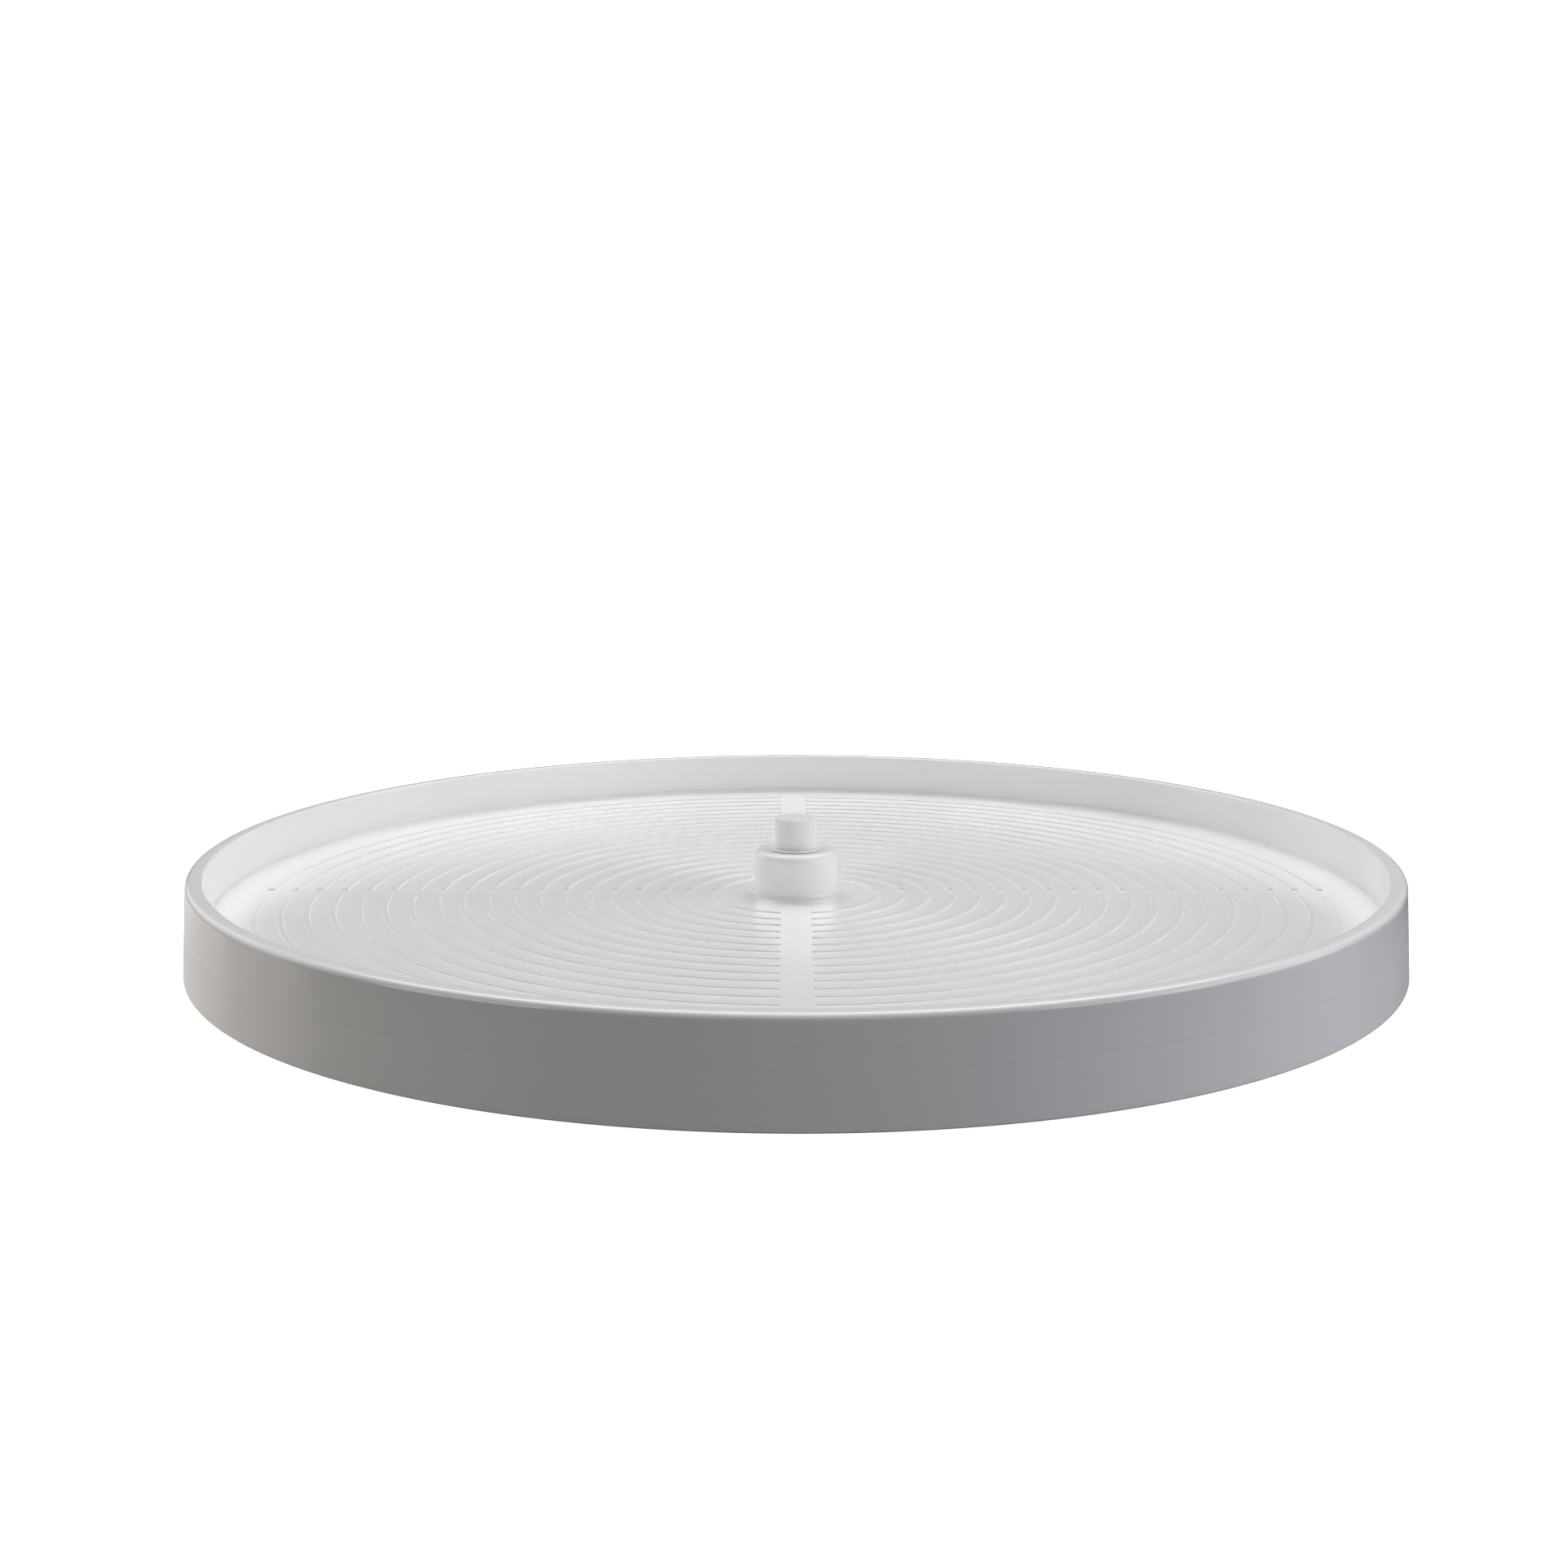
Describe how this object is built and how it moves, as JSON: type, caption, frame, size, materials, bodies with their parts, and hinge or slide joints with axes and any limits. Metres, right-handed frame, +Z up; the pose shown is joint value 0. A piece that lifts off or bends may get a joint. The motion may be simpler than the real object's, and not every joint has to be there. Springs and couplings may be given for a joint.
{
  "type": "lazy susan turntable",
  "caption": "Round kitchen turntable: a shallow rimmed tray with raised anti-slip rings turns on a low swivel base around a short centre post.",
  "frame": {"origin": "on the surface that the feet stand on, on the axis that the tray turns about", "axes": "+Z up along the post; +X and +Y along the plain strips that cross the rings, with the front towards -Y"},
  "size_m": [0.4572, 0.4572, 0.0562],
  "materials": {
    "tray_plastic": "white moulded plastic, satin, with a very fine moulded texture",
    "post_coating": "white powder coat, satin",
    "washer_nylon": "white nylon, smooth",
    "bush_nylon": "natural nylon, slightly waxy",
    "race_steel": "zinc-plated pressed steel with a bright rolled track",
    "screw_steel": "zinc-plated steel",
    "washer_steel": "zinc-plated steel, stamped",
    "ball_steel": "polished bearing steel, lightly greased",
    "cage_nylon": "natural nylon",
    "base_plastic": "pale grey moulded plastic, matt",
    "foot_rubber": "soft black rubber, matt"
  },
  "bodies": {
    "swivel_base": {"base_plate": "base_plastic", "post": "post_coating", "post_screw": "screw_steel", "post_screw_washer": "washer_steel", "retaining_washer": "washer_nylon", "lower_race": "race_steel", "lower_race_screws": "screw_steel", "foot_1": "foot_rubber", "foot_2": "foot_rubber", "foot_3": "foot_rubber", "foot_4": "foot_rubber", "foot_5": "foot_rubber", "foot_6": "foot_rubber"},
    "turning_tray": {"tray": "tray_plastic", "upper_bush": "bush_nylon", "lower_bush": "bush_nylon", "upper_race": "race_steel", "upper_race_screws": "screw_steel"},
    "ball_ring": {"ball_cage": "cage_nylon", "ball_01": "ball_steel", "ball_02": "ball_steel", "ball_03": "ball_steel", "ball_04": "ball_steel", "ball_05": "ball_steel", "ball_06": "ball_steel", "ball_07": "ball_steel", "ball_08": "ball_steel", "ball_09": "ball_steel", "ball_10": "ball_steel", "ball_11": "ball_steel", "ball_12": "ball_steel", "ball_13": "ball_steel", "ball_14": "ball_steel", "ball_15": "ball_steel", "ball_16": "ball_steel"}
  },
  "joints": [
    {"name": "tray_spin", "type": "hinge", "parent": "swivel_base", "child": "turning_tray", "pos_m": [0, 0, 0.01205], "axis": [0, 0, 1], "continuous": true},
    {"name": "cage_spin", "type": "hinge", "parent": "swivel_base", "child": "ball_ring", "pos_m": [0, 0, 0.01205], "axis": [0, 0, 1], "continuous": true}
  ],
  "couplings": [
    {"joint": "cage_spin", "follows": "tray_spin", "ratio": 0.5}
  ]
}
